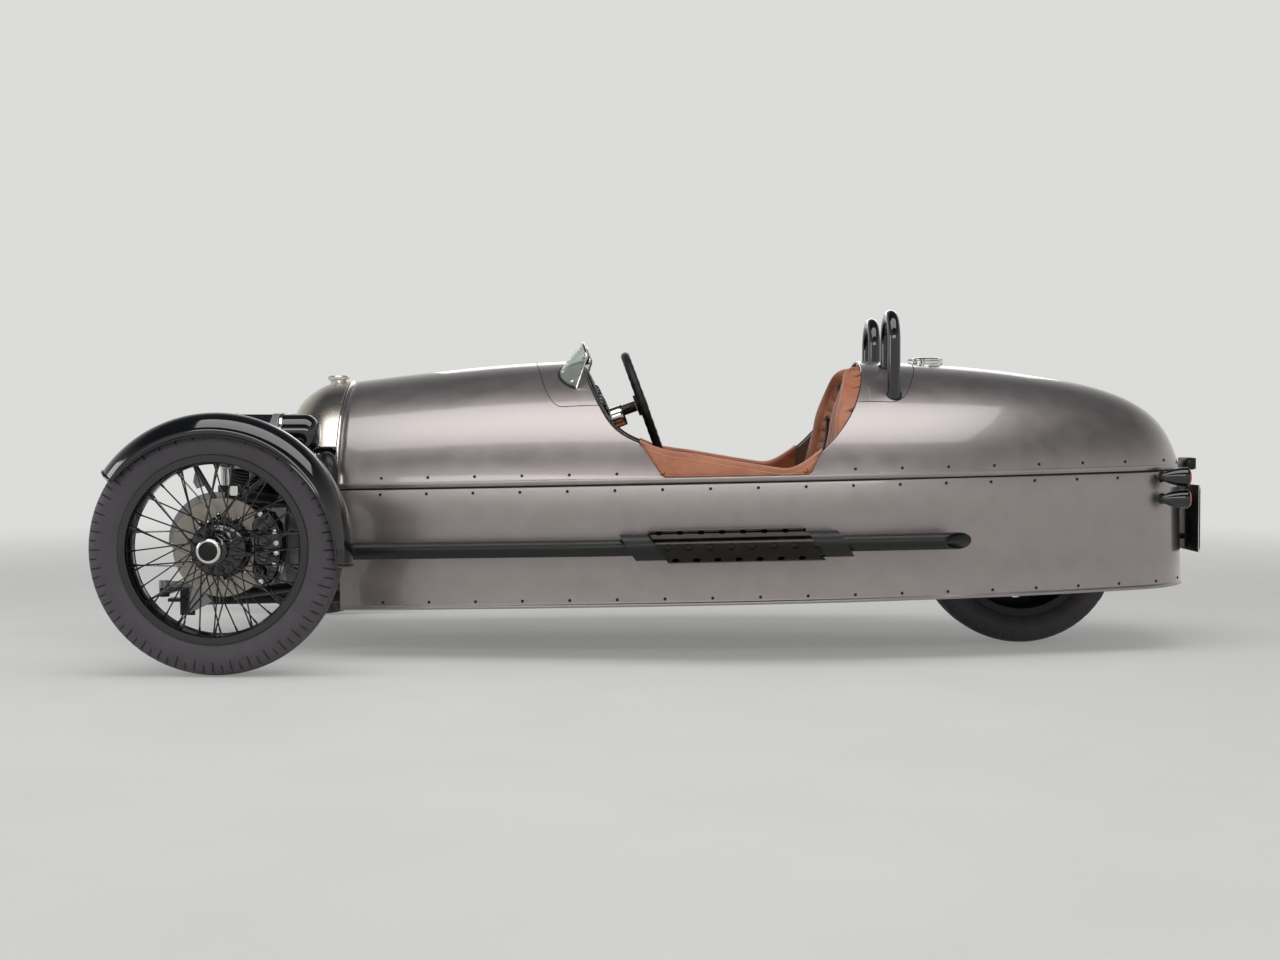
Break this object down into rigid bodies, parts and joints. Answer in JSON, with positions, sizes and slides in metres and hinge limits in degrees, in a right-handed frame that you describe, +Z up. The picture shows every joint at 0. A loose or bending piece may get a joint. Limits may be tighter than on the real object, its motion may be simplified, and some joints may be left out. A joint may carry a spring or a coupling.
{
  "type": "three wheeled car",
  "caption": "Open retro three-wheeled sports car: wire front wheels under cycle mudguards, exposed V-twin engine, riveted barrel body, side exhausts and a single driven rear wheel.",
  "frame": {"origin": "on the ground under the middle of the overall length and width", "axes": "+X forward, +Y to the car's left, +Z up"},
  "size_m": [3.2148, 1.72, 1.0208],
  "materials": {
    "body_paint": null,
    "belt_strip": null,
    "black_steel": null,
    "gloss_black": null,
    "nickel": null,
    "polished": null,
    "floor_metal": null,
    "leather": null,
    "dash_black": null,
    "clear_screen": null,
    "lamp_glass": null,
    "lamp_orange": null,
    "plate_blank": null,
    "engine_alloy": null,
    "fin_black": null,
    "exhaust_black": null,
    "disc_steel": null,
    "tyre_rubber": null,
    "rim_black": null,
    "radiator_black": null,
    "grille_steel": null,
    "wheel_leather": null
  },
  "bodies": {
    "car_body": {"belt_rail": "belt_strip", "body_side_left": "body_paint", "body_side_right": "body_paint", "bonnet": "body_paint", "chassis_frame": "black_steel", "cockpit_trim": "leather", "dashboard": "dash_black", "engine_block": "engine_alloy", "engine_cylinders": "fin_black", "engine_heads": "engine_alloy", "engine_intake": "black_steel", "exhaust_pipes": "exhaust_black", "filler_caps": "polished", "floor_pan": "floor_metal", "front_bulkhead": "black_steel", "front_dampers": "black_steel", "headlamp_lenses": "lamp_glass", "headlamp_shells": "gloss_black", "heat_shields": "exhaust_black", "lower_wishbones": "black_steel", "number_plate": "plate_blank", "plate_bracket": "black_steel", "radiator_core": "radiator_black", "radiator_cowl": "nickel", "radiator_grille": "grille_steel", "rear_fork": "black_steel", "roll_hoops": "gloss_black", "seat_backs": "leather", "seat_cushions": "leather", "silencers": "exhaust_black", "steering_column": "polished", "tail_deck": "body_paint", "tail_lamp_lenses": "lamp_orange", "tail_lamp_shells": "gloss_black", "upper_wishbones": "black_steel", "windscreens": "clear_screen"},
    "steered_upright_left": {"upright_left": "black_steel", "caliper_left": "gloss_black", "mudguard_left": "gloss_black"},
    "front_wheel_left": {"front_tyre_left": "tyre_rubber", "wire_wheel_left": "rim_black", "brake_disc_left": "disc_steel"},
    "steered_upright_right": {"upright_right": "black_steel", "caliper_right": "gloss_black", "mudguard_right": "gloss_black"},
    "front_wheel_right": {"front_tyre_right": "tyre_rubber", "wire_wheel_right": "rim_black", "brake_disc_right": "disc_steel"},
    "rear_wheel_body": {"rear_tyre": "tyre_rubber", "rear_wheel": "rim_black"},
    "steering_wheel_body": {"steering_wheel": "wheel_leather"},
    "rack_body": {"steering_rack": "black_steel"}
  },
  "joints": [
    {"name": "front_left_steer", "type": "hinge", "parent": "car_body", "child": "steered_upright_left", "pos_m": [1.2655, 0.653, 0.342], "axis": [0, 0, 1], "range_deg": [-28, 28]},
    {"name": "front_left_spin", "type": "hinge", "parent": "steered_upright_left", "child": "front_wheel_left", "pos_m": [1.2655, 0.765, 0.342], "axis": [0, 1, 0], "continuous": true},
    {"name": "front_right_steer", "type": "hinge", "parent": "car_body", "child": "steered_upright_right", "pos_m": [1.2655, -0.653, 0.342], "axis": [0, 0, 1], "range_deg": [-28, 28]},
    {"name": "front_right_spin", "type": "hinge", "parent": "steered_upright_right", "child": "front_wheel_right", "pos_m": [1.2655, -0.765, 0.342], "axis": [0, 1, 0], "continuous": true},
    {"name": "rear_spin", "type": "hinge", "parent": "car_body", "child": "rear_wheel_body", "pos_m": [-1.0595, 0, 0.302], "axis": [0, 1, 0], "continuous": true},
    {"name": "steering_wheel_turn", "type": "hinge", "parent": "car_body", "child": "steering_wheel_body", "pos_m": [0.113, -0.215, 0.745], "axis": [-0.9397, 0, 0.342], "range_deg": [-337, 337]},
    {"name": "rack_slide", "type": "slide", "parent": "car_body", "child": "rack_body", "axis": [0, 1, 0], "range_m": [-0.0865, 0.0865]}
  ],
  "couplings": [
    {"joint": "front_right_steer", "follows": "front_left_steer", "ratio": 1},
    {"joint": "steering_wheel_turn", "follows": "front_left_steer", "ratio": 12},
    {"joint": "rack_slide", "follows": "front_left_steer", "m_per_rad": 0.175}
  ]
}
